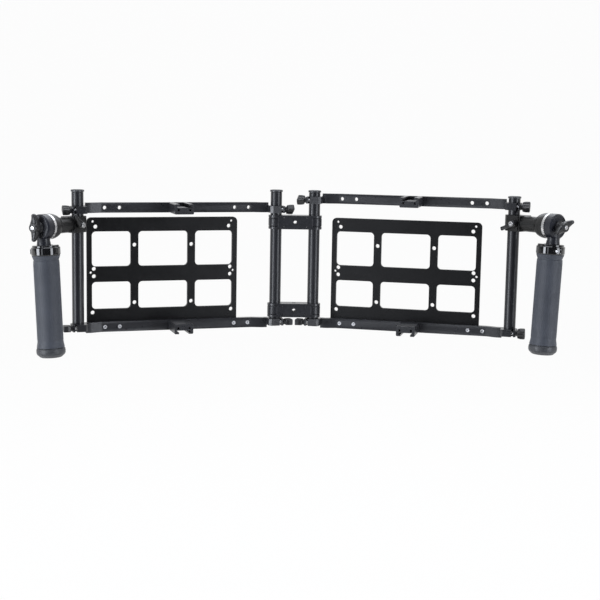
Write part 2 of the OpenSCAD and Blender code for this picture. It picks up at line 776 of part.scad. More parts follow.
module clamp_lever(side) {
    arm_h = 4;
    tip_d = 5;
    color(BLACK) at_lever(side) difference() {
        union() {
            cylinder(d = lever_hub_d, h = lever_hub_l);
            translate([0, 0, lever_hub_l - arm_h]) hull() {
                cylinder(d = lever_hub_d - 1.5, h = arm_h, $fn = 32);
                translate([lever_l - tip_d / 2, 0, 0]) cylinder(d = tip_d, h = arm_h, $fn = 32);
            }
        }
        translate([0, 0, -1]) cylinder(d = lever_screw_d + 2 * run_gap, h = lever_hub_l + 2);
    }
}

module lever_screw(side) {
    head_h = 1.6;
    shank_l = grip_clamp_od * 0.6 + lever_hub_l;
    color(SILVER) at_lever(side) difference() {
        union() {
            translate([0, 0, lever_hub_l]) cylinder(d = lever_screw_d + 1.6, h = head_h);
            translate([0, 0, lever_hub_l - shank_l]) cylinder(d = lever_screw_d, h = shank_l + head_h);
        }
        translate([0, 0, lever_hub_l + head_h - 1]) cylinder(d = 0.6 * lever_screw_d, h = 2, $fn = 6);
    }
}

// Hand grips

module head_profile() {
    rim = rosette_d / 2;
    difference() {
        square([rim, head_t]);
        translate([rim, head_t]) rotate(45) square(0.08 * rosette_d, center = true);
        translate([1.4 * stud_d, head_t - head_recess]) square([0.29 * rim, 2 * head_recess]);
    }
}

// Neck: flat beside the rosette and the wing nut, round below them
module neck_shape() {
    clear = max(rosette_d / 2, nut_r) + 2 * face_gap;
    translate([0, 0, -clear]) linear_extrude(clear - rosette_d / 4) intersection() {
        translate([neck_x, 0]) circle(d = neck_d);
        translate([head_x, -neck_d]) square([head_t, 2 * neck_d]);
    }
    translate([neck_x, 0, -collar_drop]) cylinder(d1 = foot_d, d2 = neck_d, h = collar_drop - clear);
    translate([neck_x, 0, -collar_drop - foot_h]) cylinder(d = foot_d, h = foot_h);
}

module handle_head(side) {
    color(DARK) in_grip(side) difference() {
        union() {
            difference() {
                translate([head_x, 0, 0]) along_x() rotate_extrude() head_profile();
                translate([head_x, 0, 0]) rotate([0, -90, 0]) rosette_grooves();
                translate([head_x - 1, 0, 0]) along_x() cylinder(d = rosette_mid_d, h = 1 + tooth_h);
            }
            neck_shape();
            translate([grip_x, 0, -cap_top - end_cap_h / 2]) cylinder(d = core_d, h = cap_top + end_cap_h / 2 - collar_drop);
        }
        translate([head_x - 1, 0, 0]) along_x() cylinder(d = stud_d + 2 * run_gap, h = head_t + 2);
    }
}

// Collar with a drop-shaped boss for its lock screw
module grip_collar(side) {
    step_h = 2.5;
    step_d = collar_d - 3.4;
    boss_turn = -40 * side;
    color(GLOSS) in_grip(side) translate([grip_x, 0, -rubber_top]) difference() {
        union() {
            cylinder(d = collar_d, h = collar_h - step_h);
            translate([0, 0, collar_h - step_h]) cylinder(d1 = collar_d - 1, d2 = step_d, h = step_h);
            rotate([0, 0, boss_turn]) translate([collar_d / 2 - 2, 0, (collar_h - step_h) / 2]) along_x() hull() {
                cylinder(d = 6, h = 2.8, $fn = 32);
                translate([0, -5, 0]) cylinder(d = 2, h = 2.4, $fn = 32);
            }
        }
        translate([0, 0, -1]) cylinder(d = core_d + 2 * run_gap, h = collar_h + 2);
        translate([neck_x - grip_x, 0, collar_h - foot_h - run_gap]) cylinder(d = foot_d + 2 * run_gap, h = collar_h);
    }
}

module grip_rubber(side) {
    waist = rubber_d / 2;
    lip = collar_d / 2 - 0.8;
    color(RUBBER) in_grip(side) translate([grip_x, 0, -cap_top]) rotate_extrude() difference() {
        polygon([[core_d / 2 + run_gap, 0], [lip, 0], [lip, 1.2], [waist, flare_h],
            [waist, rubber_l - flare_h], [lip, rubber_l - 1.2], [lip, rubber_l], [core_d / 2 + run_gap, rubber_l]]);
    }
}

module grip_end_cap(side) {
    cap_r = collar_d / 2;
    bevel = 0.4 * end_cap_h;
    color(BLACK) in_grip(side) translate([grip_x, 0, -cap_top - end_cap_h]) difference() {
        rotate_extrude() polygon([[0, 0], [cap_r - bevel, 0], [cap_r, bevel], [cap_r, end_cap_h], [0, end_cap_h]]);
        translate([0, 0, end_cap_h / 2 - run_gap]) cylinder(d = core_d + 2 * run_gap, h = end_cap_h);
    }
}

module wing_nut(side) {
    hub_d = 2 * stud_d;
    color(BLACK) in_grip(side) translate([nut_x, 0, 0]) rotate([of_side(nut_turn, side) + handle_tilt, 0, 0]) along_x()
        difference() {
            union() {
                cylinder(d = hub_d, h = nut_h);
                intersection() {
                    for (turn = [0, 180]) rotate([0, 0, turn]) rotate([90, 0, 0])
                        linear_extrude(nut_t, center = true) nut_wing();
                    cylinder(r = nut_r, h = 2 * nut_h);
                }
            }
            translate([0, 0, -1]) cylinder(d = stud_d + 2 * run_gap, h = 3 * nut_h);
        }
}

// One wing, flat, from the full height of the hub to a lower, round tip
module nut_wing() {
    tip_r = 3.4;
    hull() {
        translate([0, nut_h / 2]) square([1, nut_h - 1], center = true);
        translate([nut_r - tip_r, 0.42 * nut_h]) circle(tip_r, $fn = 32);
    }
}

hinge_link_upper();
hinge_link_lower();
for (side = SIDES) {
    inner_rod(side);
    inner_cap(side);
    hinge_collars(side);
    collar_screws(side);
    lower_bar(side);
    lower_shoe(side);
    lower_shoe_screws(side);
    back_plate(side);
    plate_screws(side);
    top_bar(side);
    top_shoe(side);
    top_shoe_screws(side);
    outer_rod(side);
    outer_cap(side);
    handle_clamp(side);
    rosette(side);
    rosette_stud(side);
    clamp_lever(side);
    lever_screw(side);
    handle_head(side);
    grip_collar(side);
    grip_rubber(side);
    grip_end_cap(side);
    wing_nut(side);
    thumb_top_outer(side);
    thumb_top_inner(side);
    thumb_low_outer(side);
    thumb_low_inner(side);
}
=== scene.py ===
"""Dresses the hinged twin monitor cage: finishes, moulded and turned pieces, studio and camera."""

import json
import logging
import math
from dataclasses import dataclass
from enum import Enum
from typing import Callable, Iterable, Sequence

import bmesh
import bpy
from mathutils import Matrix, Vector

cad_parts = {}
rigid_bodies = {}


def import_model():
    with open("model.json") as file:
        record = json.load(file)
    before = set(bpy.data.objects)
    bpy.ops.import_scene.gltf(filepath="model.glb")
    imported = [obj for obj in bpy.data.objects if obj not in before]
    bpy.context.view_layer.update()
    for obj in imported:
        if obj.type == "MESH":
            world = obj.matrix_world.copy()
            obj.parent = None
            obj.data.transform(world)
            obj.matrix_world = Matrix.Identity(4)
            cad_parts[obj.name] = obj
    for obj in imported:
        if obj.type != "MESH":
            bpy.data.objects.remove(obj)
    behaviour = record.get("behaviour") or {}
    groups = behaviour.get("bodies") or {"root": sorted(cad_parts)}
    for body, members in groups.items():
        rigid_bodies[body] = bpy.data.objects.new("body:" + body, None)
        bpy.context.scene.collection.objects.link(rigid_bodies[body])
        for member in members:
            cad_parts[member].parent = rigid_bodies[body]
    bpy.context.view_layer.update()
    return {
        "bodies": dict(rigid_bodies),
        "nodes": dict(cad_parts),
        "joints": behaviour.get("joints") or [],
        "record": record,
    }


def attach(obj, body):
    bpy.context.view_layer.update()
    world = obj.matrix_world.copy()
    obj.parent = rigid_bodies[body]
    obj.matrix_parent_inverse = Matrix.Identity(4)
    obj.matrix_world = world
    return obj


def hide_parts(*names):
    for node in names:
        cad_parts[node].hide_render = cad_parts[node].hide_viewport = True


LOG = logging.getLogger("monitor_cage")
MM = 0.001
MERGE_GAP = 0.000002
Pair = tuple[float, float]
Point = tuple[float, float]
Triple = tuple[float, float, float]
Colour = tuple[float, float, float]


class Side(Enum):
    """The two cages, seen from the front."""

    LEFT = -1
    RIGHT = 1

    @property
    def tag(self) -> str:
        """Start of the names of this side's nodes and bodies."""
        return self.name.lower()

    def node(self, piece: str) -> str:
        """Full name of one of this side's nodes or bodies."""
        return f"{self.tag}_{piece}"

    def pick(self, pair: Pair) -> float:
        """The left or the right one of a pair."""
        return pair[0] if self is Side.LEFT else pair[1]


@dataclass(frozen=True)
class Layout:
    """How the cages are set up, as in the solids, in millimetres and degrees; pairs are left and right."""

    hinge_pitch: float = 50.5
    swing: float = 15.8
    bar_w: float = 261.0
    bar_z: Pair = (138.4, 151.2)
    lower_z: float = -2.0
    handle_z: Pair = (125.1, 134.7)
    swivel: Pair = (43.0, 37.4)
    tilt: float = 3.2

    def cage(self, side: Side) -> Matrix:
        """Frame of a cage: inner rod on Z, outer rod along +X, front at -Y.

        Args:
            side: The cage.

        Returns:
            Matrix from the cage's millimetres to the scene's metres.
        """
        mirror = Matrix.Diagonal((side.value * MM, MM, MM, 1.0))
        shift = Matrix.Translation((self.hinge_pitch / 2, 0, 0))
        return mirror @ shift @ Matrix.Rotation(math.radians(-self.swing), 4, "Z")

    def handle(self, side: Side) -> Matrix:
        """Frame of a handle clamp: outer rod on Z, stem along +X at Z = 0."""
        shift = Matrix.Translation((self.bar_w, 0, side.pick(self.handle_z)))
        return self.cage(side) @ shift @ Matrix.Rotation(math.radians(-side.pick(self.swivel)), 4, "Z")

    def grip(self, side: Side) -> Matrix:
        """Frame of a hand grip: the handle's frame, leaned about the stem."""
        return self.handle(side) @ Matrix.Rotation(math.radians(-self.tilt), 4, "X")

    def top_bar(self, side: Side) -> Matrix:
        """Frame of a top bar: the cage's frame at the bar's foot."""
        return self.cage(side) @ Matrix.Translation((0, 0, side.pick(self.bar_z)))

    def lower_bar(self, side: Side) -> Matrix:
        """Frame of a lower bar, which is a top bar turned over."""
        shift = Matrix.Translation((self.bar_w, 0, self.lower_z))
        return self.cage(side) @ shift @ Matrix.Rotation(math.pi, 4, "Y")


LAYOUT = Layout()


class Nodes:
    """Small helper that lays out the nodes of one material."""

    def __init__(self, name: str) -> None:
        """Starts a material with an empty principled shader.

        Args:
            name: The material's name.
        """
        self.material = bpy.data.materials.new(name)
        self.material.use_nodes = True
        self.tree = self.material.node_tree
        self.shader = self.tree.nodes["Principled BSDF"]
        self.coords = self.add("ShaderNodeTexCoord")

    def add(self, kind: str, **values: object) -> bpy.types.Node:
        """Adds a node and sets its properties.

        Args:
            kind: Blender's name of the node type.
            values: Properties of the node.

        Returns:
            The new node.
        """
        node = self.tree.nodes.new(kind)
        for key, value in values.items():
            setattr(node, key, value)
        return node

    def link(self, source: bpy.types.NodeSocket, target: bpy.types.NodeSocket) -> None:
        """Joins two sockets."""
        self.tree.links.new(source, target)

    def noise(self, scale: float, detail: float, stretch: Triple) -> bpy.types.NodeSocket:
        """Noise over the object's own coordinates.

        Args:
            scale: Grains per metre.
            detail: Octaves of finer noise.
            stretch: Scale along each axis.

        Returns:
            The noise's grey value.
        """
        mapping = self.add("ShaderNodeMapping")
        mapping.inputs["Scale"].default_value = stretch
        self.link(self.coords.outputs["Object"], mapping.inputs["Vector"])
        noise = self.add("ShaderNodeTexNoise")
        noise.inputs["Scale"].default_value = scale
        noise.inputs["Detail"].default_value = detail
        self.link(mapping.outputs["Vector"], noise.inputs["Vector"])
        return noise.outputs["Fac"]

    def ramp(self, value: bpy.types.NodeSocket, low: float, high: float,
             at: Pair = (0.3, 0.7)) -> bpy.types.NodeSocket:
        """Maps a grey value to a range.

        Args:
            value: The grey value.
            low: Result at the range's start.
            high: Result at the range's end.
            at: Grey values of the start and the end.

        Returns:
            The mapped value.
        """
        node = self.add("ShaderNodeMapRange")
        node.inputs["From Min"].default_value = at[0]
        node.inputs["From Max"].default_value = at[1]
        node.inputs["To Min"].default_value = low
        node.inputs["To Max"].default_value = high
        self.link(value, node.inputs["Value"])
        return node.outputs["Result"]

    def tint(self, value: bpy.types.NodeSocket, dark: Colour, light: Colour) -> bpy.types.NodeSocket:
        """Mixes two colours by a grey value.

        Args:
            value: The grey value.
            dark: Colour at 0.
            light: Colour at 1.

        Returns:
            The mixed colour.
        """
        mix = self.add("ShaderNodeMix", data_type="RGBA")
        mix.inputs["A"].default_value = (*dark, 1.0)
        mix.inputs["B"].default_value = (*light, 1.0)
        self.link(value, mix.inputs["Factor"])
        return mix.outputs["Result"]

    def edge(self, radius: float, power: float = 1.0) -> bpy.types.NodeSocket:
        """How near a point is to a sharp edge, from 0 on flats to 1 on edges.

        Args:
            radius: Reach of an edge, in metres.
            power: Gain of the result.

        Returns:
            The grey value.
        """
        geometry = self.add("ShaderNodeNewGeometry")
        bevel = self.add("ShaderNodeBevel", samples=6)
        bevel.inputs["Radius"].default_value = radius
        dot = self.add("ShaderNodeVectorMath", operation="DOT_PRODUCT")
        self.link(geometry.outputs["Normal"], dot.inputs[0])
        self.link(bevel.outputs["Normal"], dot.inputs[1])
        return self.ramp(dot.outputs["Value"], power, 0.0, (0.72, 0.985))

    def bump(self, height: bpy.types.NodeSocket, depth: float, strength: float = 1.0) -> None:
        """Drives the shader's normal from a height.

        Args:
            height: The grey height.
            depth: Depth of the relief in metres.
            strength: Share of the relief that shows.
        """
        node = self.add("ShaderNodeBump")
        node.inputs["Distance"].default_value = depth
        node.inputs["Strength"].default_value = strength
        self.link(height, node.inputs["Height"])
        self.link(node.outputs["Normal"], self.shader.inputs["Normal"])

    def set(self, **values: float) -> None:
        """Sets plain values on the shader's sockets; underscores stand for spaces."""
        for key, value in values.items():
            self.shader.inputs[key.replace("_", " ")].default_value = value


@dataclass(frozen=True)
class Surface:
    """A finish: two mixed tones, uneven gloss and fine grain.

    Its clouds, smears and grain are noises, each with a scale and a detail.
    """

    name: str
    dark: Colour
    light: Colour
    roughness: Pair
    cloud: Pair = (90.0, 4.0)
    smear: Pair = (220.0, 3.0)
    grain: Pair = (2600.0, 2.0)
    depth: float = 0.00001
    relief: float = 0.5
    stretch: Triple = (1.0, 1.0, 1.0)
    ior: float = 1.5
    metallic: float = 0.0
    sheen: float = 0.0
    coat: float = 0.0
    coat_roughness: float = 0.06

    def tone(self, nodes: Nodes) -> bpy.types.NodeSocket:
        """Mixes the two tones.

        Args:
            nodes: Nodes of the material.

        Returns:
            The mixed colour.
        """
        cloud = nodes.ramp(nodes.noise(*self.cloud, self.stretch), 0.0, 1.0)
        return nodes.tint(cloud, self.dark, self.light)

    def make(self) -> bpy.types.Material:
        """Builds the material.

        Returns:
            The new material.
        """
        nodes = Nodes(self.name)
        nodes.link(self.tone(nodes), nodes.shader.inputs["Base Color"])
        smear = nodes.ramp(nodes.noise(*self.smear, self.stretch), *self.roughness)
        nodes.link(smear, nodes.shader.inputs["Roughness"])
        nodes.bump(nodes.noise(*self.grain, self.stretch), self.depth, self.relief)
        nodes.set(IOR=self.ior, Metallic=self.metallic, Sheen_Weight=self.sheen,
                  Coat_Weight=self.coat, Coat_Roughness=self.coat_roughness)
        return nodes.material


@dataclass(frozen=True)
class Anodised(Surface):
    """Bead-blasted and dyed aluminium, with a painted highlight along its edges."""

    cloud: Pair = (42.0, 4.0)
    smear: Pair = (160.0, 3.0)
    grain: Pair = (5200.0, 1.0)
    depth: float = 0.000006
    relief: float = 0.55
    ior: float = 1.52
    # Reach, strength and colour of the painted highlight along the edges.
    edge_reach: float = 0.0006
    edge_light: float = 0.35
    edge_colour: Colour = (0.16, 0.16, 0.17)

    def tone(self, nodes: Nodes) -> bpy.types.NodeSocket:
        """Mixes the two tones and paints a highlight along the edges.

        Args:
            nodes: Nodes of the material.

        Returns:
            The mixed colour.
        """
        # A paler colour mixed in near sharp edges: a painted highlight.
        edge_highlight_mix = nodes.add("ShaderNodeMix", data_type="RGBA")
        nodes.link(nodes.edge(self.edge_reach, self.edge_light), edge_highlight_mix.inputs["Factor"])
        nodes.link(super().tone(nodes), edge_highlight_mix.inputs["A"])
        edge_highlight_mix.inputs["B"].default_value = (*self.edge_colour, 1.0)
        return edge_highlight_mix.outputs["Result"]


@dataclass(frozen=True)
class Steel(Surface):
    """Turned or plated steel with fine tool marks."""

    cloud: Pair = (300.0, 3.0)
    smear: Pair = (900.0, 2.0)
    grain: Pair = (3600.0, 1.0)
    depth: float = 0.00002
    relief: float = 0.4
    metallic: float = 1.0


class Finish(Enum):
    """The object's finishes."""

    BAR = Anodised("bar_anodised", (0.0200, 0.0204, 0.0232), (0.0265, 0.0270, 0.0305), (0.27, 0.34))
    ROD = Anodised("rod_anodised", (0.0145, 0.0150, 0.0180), (0.0185, 0.0191, 0.0225), (0.31, 0.34),
                   ior=1.44, relief=0.2, stretch=(6.0, 6.0, 0.6))
    ROD_CAP = Anodised("cap_anodised", (0.030, 0.031, 0.034), (0.040, 0.041, 0.045), (0.34, 0.40))
    CLAMP = Anodised("clamp_anodised", (0.0070, 0.0069, 0.0068), (0.0100, 0.0098, 0.0097),
                     (0.34, 0.42), ior=1.45)
    PLATE = Anodised("plate_anodised", (0.0034, 0.0034, 0.0040), (0.0054, 0.0054, 0.0062),
                     (0.36, 0.44), ior=1.36)
    HEAD = Anodised("head_anodised", (0.0100, 0.0112, 0.0168), (0.0148, 0.0160, 0.0228),
                    (0.36, 0.44), ior=1.46)
    STEEL = Steel("bright_steel", (0.5616, 0.5616, 0.5694), (0.72, 0.72, 0.73), (0.2, 0.34))
    ZINC = Steel("zinc_plate", (0.7176, 0.7176, 0.7332), (0.92, 0.92, 0.94), (0.34, 0.46), metallic=0.3)
    RUBBER = Surface("sleeve_rubber", (0.038, 0.0435, 0.057), (0.049, 0.0555, 0.071), (0.50, 0.62),
                     cloud=(55.0, 5.0), smear=(400.0, 3.0), grain=(4200.0, 2.0),
                     depth=0.00002, relief=0.6, sheen=0.12)
    GLOSS = Surface("collar_gloss", (0.0040, 0.0040, 0.0050), (0.0064, 0.0064, 0.00775), (0.04, 0.08),
                    grain=(1500.0, 2.0), coat=0.5)
    CAP = Surface("cap_grey", (0.036, 0.038, 0.043), (0.0496, 0.0523, 0.05905), (0.40, 0.52))
    KNOB = Surface("knob_black", (0.0090, 0.0090, 0.0102), (0.01315, 0.01315, 0.01477), (0.32, 0.44))

    def material(self) -> bpy.types.Material:
        """The finish's material, made once."""
        found = bpy.data.materials.get(self.value.name)
        return found or self.value.make()


class Form:
    """A mesh under construction, in the millimetres of a local frame."""

    def __init__(self) -> None:
        """Starts an empty mesh."""
        self.mesh = bmesh.new()

    def ring(self, points: Iterable[Sequence[float]]) -> list[bmesh.types.BMVert]:
        """Adds a closed ring of vertices."""
        return [self.mesh.verts.new(p) for p in points]

    def skin(self, rings: list[list[bmesh.types.BMVert]]) -> None:
        """Joins rings of equal count by quads.

        Args:
            rings: The rings, in order.
        """
        for low, high in zip(rings, rings[1:]):
            count = len(low)
            for i in range(count):
                j = (i + 1) % count
                self.mesh.faces.new((low[i], low[j], high[j], high[i]))

    def close(self, ring: list[bmesh.types.BMVert], apex: Sequence[float], flip: bool = False) -> None:
        """Closes a ring with a fan to a point.

        Args:
            ring: The ring.
            apex: The fan's middle.
            flip: Turns the fan's faces over.
        """
        tip = self.mesh.verts.new(apex)
        count = len(ring)
        for i in range(count):
            j = (i + 1) % count
            face = (ring[i], ring[j], tip) if not flip else (ring[j], ring[i], tip)
            self.mesh.faces.new(face)

    def lathe(self, profile: Sequence[Point], segments: int = 72, frame: Matrix = Matrix(),
              relief: Callable[[float, float], float] | None = None) -> None:
        """Turns a profile about the frame's Z axis.

        Args:
            profile: Radius and height of each point, from one end of the axis to the other.
            segments: Faces round the axis.
            frame: Frame of the lathe in the form's frame.
            relief: Extra radius for an angle and a height.
        """
        rings = []
        for radius, height in profile:
            ring = []
            for i in range(segments):
                angle = 2 * math.pi * i / segments
                r = radius + (relief(angle, height) if relief else 0.0)
                ring.append(frame @ Vector((r * math.cos(angle), r * math.sin(angle), height)))
            rings.append(self.ring(ring))
        self.skin(rings)

    def loft(self, sections: Sequence[Sequence[Sequence[float]]]) -> None:
        """Skins closed sections of equal count, and closes both ends.

        Args:
            sections: Points of each section, from one end to the other.
        """
        rings = [self.ring(points) for points in sections]
        self.skin(rings)
        for ring, flip in ((rings[0], True), (rings[-1], False)):
            middle = sum((v.co for v in ring), Vector()) / len(ring)
            self.close(ring, middle, flip)

    def place(self, name: str, frame: Matrix, finish: Finish, body: str, nodes: Sequence[str] = (),
              smooth: float = 40.0) -> None:
        """Turns the form into a piece of the object.

        Args:
            name: The piece's name.
            frame: Matrix from the form's millimetres to metres.
            finish: The piece's finish.
            body: The body that it rides on.
            nodes: Nodes that it stands for.
            smooth: Angle in degrees above which an edge stays sharp.
        """
        self.mesh.transform(frame)
        bmesh.ops.remove_doubles(self.mesh, verts=self.mesh.verts, dist=MERGE_GAP)
        bmesh.ops.recalc_face_normals(self.mesh, faces=self.mesh.faces)
        data = bpy.data.meshes.new(name)
        self.mesh.to_mesh(data)
        self.mesh.free()
        data.shade_smooth()
        data.set_sharp_from_angle(angle=math.radians(smooth))
        data.materials.append(finish.material())
        piece = bpy.data.objects.new(name, data)
        bpy.context.scene.collection.objects.link(piece)
        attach(piece, body)
        if nodes:
            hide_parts(*nodes)


def rounded(corners: Sequence[Triple], steps: int = 4) -> list[Point]:
    """Rounds the inner corners of an open line.

    Args:
        corners: Coordinates of each corner and the radius of its round.
        steps: Points of a round.

    Returns:
        Points of the softened line.
    """
    line: list[Point] = []
    last = len(corners) - 1
    for i, (x, y, radius) in enumerate(corners):
        if i in (0, last) or radius <= 0:
            line.append((x, y))
            continue
        here = Vector((x, y))
        back = Vector(corners[i - 1][:2]) - here
        ahead = Vector(corners[i + 1][:2]) - here
        cut = min(radius, back.length * 0.49, ahead.length * 0.49)
        start = here + back.normalized() * cut
        end = here + ahead.normalized() * cut
        for k in range(steps + 1):
            t = k / steps
            point = start.lerp(here, t).lerp(here.lerp(end, t), t)
            line.append((point.x, point.y))
    return line


def oval(width: float, height: float, power: float, count: int) -> list[Point]:
    """Points of a squared ellipse.

    Args:
        width: Half of its width.
        height: Half of its height.
        power: 2 for an ellipse, more for a squarer one.
        count: Points round it.

    Returns:
        Its points, anticlockwise.
    """
    points = []
    for i in range(count):
        angle = 2 * math.pi * i / count
        c, s = math.cos(angle), math.sin(angle)
        x = math.copysign(abs(c) ** (2 / power), c) * width
        y = math.copysign(abs(s) ** (2 / power), s) * height
        points.append((x, y))
    return points


def slab(half_x: float, half_y: float, radius: float, along: int = 30, across: int = 8) -> list[Point]:
    """Points of a rectangle with rounded corners, close enough to take grooves.

    Args:
        half_x: Half of its width.
        half_y: Half of its height.
        radius: Radius of its corners.
        along: Points of each tall side.
        across: Points of each short side.

    Returns:
        Its points, anticlockwise from the lower right corner.
    """
    points = []
    x, y = half_x - radius, half_y - radius
    for k in range(4):
        middle = ((x, -y), (x, y), (-x, y), (-x, -y))[k]
        for step in range(4):
            angle = math.pi / 2 * (k - 1 + step / 4)
            points.append((middle[0] + radius * math.cos(angle), middle[1] + radius * math.sin(angle)))
        tall = k % 2 == 0
        count = along if tall else across
        side = 1 if k < 2 else -1
        for step in range(count - 1):
            share = 2 * step / (count - 1) - 1
            points.append((side * half_x, side * share * y) if tall else (-side * share * x, side * half_y))
    return points


def smooth_step(value: float, low: float, high: float) -> float:
    """Eases from 0 at low to 1 at high."""
    t = min(max((value - low) / (high - low), 0.0), 1.0)
    return t * t * (3 - 2 * t)


def ease(t: float, ends: Pair, span: Pair) -> float:
    """Eases from one value to another.

    Args:
        t: Where, from 0 to 1.
        ends: The two values.
        span: Where the change starts and where it ends.

    Returns:
        The value there.
    """
    return ends[0] + (ends[1] - ends[0]) * smooth_step(t, *span)


def smooth_shading() -> bpy.types.NodeTree:
    """Makes the node group that shades a solid smooth and sets its stored normals aside.

    Returns:
        The group, made once.
    """
    name = "smooth_shading"
    if name in bpy.data.node_groups:
        return bpy.data.node_groups[name]
    group = bpy.data.node_groups.new(name, "GeometryNodeTree")
    for way in ("INPUT", "OUTPUT"):
        group.interface.new_socket("Geometry", in_out=way, socket_type="NodeSocketGeometry")
    start = group.nodes.new("NodeGroupInput")
    shade = group.nodes.new("GeometryNodeSetMeshNormal")
    end = group.nodes.new("NodeGroupOutput")
    group.links.new(start.outputs["Geometry"], shade.inputs["Mesh"])
    group.links.new(shade.outputs["Mesh"], end.inputs["Geometry"])
    return group


@dataclass(frozen=True)
class SolidNode:
    """A solid kept as it is, with softened edges and a finish."""

    node: str
    finish: Finish
    edge: float
    weld_gap: float = 2 * MERGE_GAP
    flat_angle: float = 0.4
    edge_angle: float = 32.0

    def dress(self, nodes: dict[str, bpy.types.Object]) -> None:
        """Softens the node's edges and gives it its finish.

        Args:
            nodes: All nodes by name.
        """
        piece = nodes[self.node]
        piece.data.materials.clear()
        piece.data.materials.append(self.finish.material())
        shade = piece.modifiers.new("shading", "NODES")
        shade.node_group = smooth_shading()
        weld = piece.modifiers.new("weld", "WELD")
        weld.merge_threshold = self.weld_gap
        flat = piece.modifiers.new("flats", "DECIMATE")
        flat.decimate_type = "DISSOLVE"
        flat.angle_limit = math.radians(self.flat_angle)
        bevel = piece.modifiers.new("edges", "BEVEL")
        bevel.width = self.edge * MM
        bevel.segments = 2
        bevel.limit_method = "ANGLE"
        bevel.angle_limit = math.radians(self.edge_angle)
        bevel.harden_normals = True
        bevel.use_clamp_overlap = True


def dress(nodes: dict[str, bpy.types.Object], looks: dict[str, Finish], side: Side | None = None,
          edge: float = 0.25) -> None:
    """Gives carried-over solids their finishes.

    Args:
        nodes: All nodes by name.
        looks: Finish of each piece.
        side: The cage that they belong to, if any.
        edge: Width of their edges' rounds in millimetres.
    """
    for piece, finish in looks.items():
        SolidNode(side.node(piece) if side else piece, finish, edge).dress(nodes)


@dataclass(frozen=True)
class Thread:
    """The ridges of a tapped hole, or of a screw's shank."""

    radius: float
    depth: float
    pitch: float
    segments: int = 24

    def relief(self, angle: float, height: float) -> float:
        """Radius to add at a point of the helix."""
        phase = (height / self.pitch - angle / (2 * math.pi)) % 1.0
        return self.depth * (1 - abs(2 * phase - 1))

    def cut(self, form: Form, frame: Matrix, length: float) -> None:
        """Adds the thread along the frame's Z axis.

        Args:
            form: The form that takes it.
            frame: Frame of its start.
            length: Its length.
        """
        steps = max(4, round(6 * length / self.pitch))
        profile = [(self.radius, length * k / steps) for k in range(steps + 1)]
        form.lathe(profile, self.segments, frame, self.relief)


ALONG_Y = Matrix.Rotation(math.radians(-90), 4, "X")
ALONG_X = Matrix.Rotation(math.radians(90), 4, "Y")
HOLE_THREAD = Thread(2.36, 0.18, 1.27)
SHANK_THREAD = Thread(1.78, 0.2, 0.7, 28)


@dataclass(frozen=True)
class Hinge:
    """The two forked links that carry the inner rods."""

    link_depth: float = 20.0
    link_z: Pair = (9.0, 126.0)

    def build(self, nodes: dict[str, bpy.types.Object]) -> None:
        """Dresses the links and cuts the thread of their front holes.

        Args:
            nodes: All nodes by name.
        """
        dress(nodes, {"hinge_link_upper": Finish.BAR, "hinge_link_lower": Finish.BAR}, None, 0.5)
        form = Form()
        for height in self.link_z:
            start = Matrix.Translation((0, -self.link_depth / 2 + 0.5, height)) @ ALONG_Y
            HOLE_THREAD.cut(form, start, self.link_depth - 1.0)
        form.place("hinge_link_threads", Matrix.Scale(MM, 4), Finish.BAR, "hinge_links")


@dataclass(frozen=True)
class Cage:
    """One cage: its rods, lower bar with shoe, and back plate."""

    side: Side

    def build(self, nodes: dict[str, bpy.types.Object]) -> None:
        """Dresses the cage's solids.

        Args:
            nodes: All nodes by name.
        """
        dress(nodes, {"inner_rod": Finish.ROD, "outer_rod": Finish.ROD, "inner_cap": Finish.ROD_CAP,
                      "outer_cap": Finish.ROD_CAP, "collar_screws": Finish.STEEL, "lower_bar": Finish.BAR,
                      "lower_shoe": Finish.BAR, "lower_shoe_screws": Finish.STEEL,
                      "back_plate": Finish.PLATE, "plate_screws": Finish.ZINC}, self.side)
        dress(nodes, {"hinge_collars": Finish.ROD}, self.side, 0.2)


@dataclass(frozen=True)
class TopBar:
    """A top bar with its shoe and its four tapped holes."""

    side: Side
    holes: tuple[float, ...] = (35.5, 54.5, 206.5, 225.5)
    front: float = 6.5
    depth: float = 7.0
    hole_z: float = 6.5

    def build(self, nodes: dict[str, bpy.types.Object]) -> None:
        """Dresses the bar and cuts the thread of its holes.

        Args:
            nodes: All nodes by name.
        """
        dress(nodes, {"top_bar": Finish.BAR, "top_shoe": Finish.BAR,
                      "top_shoe_screws": Finish.STEEL}, self.side)
        form = Form()
        for x in self.holes:
            start = Matrix.Translation((x, self.front + 0.4, self.hole_z)) @ ALONG_Y
            HOLE_THREAD.cut(form, start, self.depth - 0.8)
        form.place(self.side.node("bar_threads"), LAYOUT.top_bar(self.side), Finish.BAR,
                   self.side.node("top_bar"))


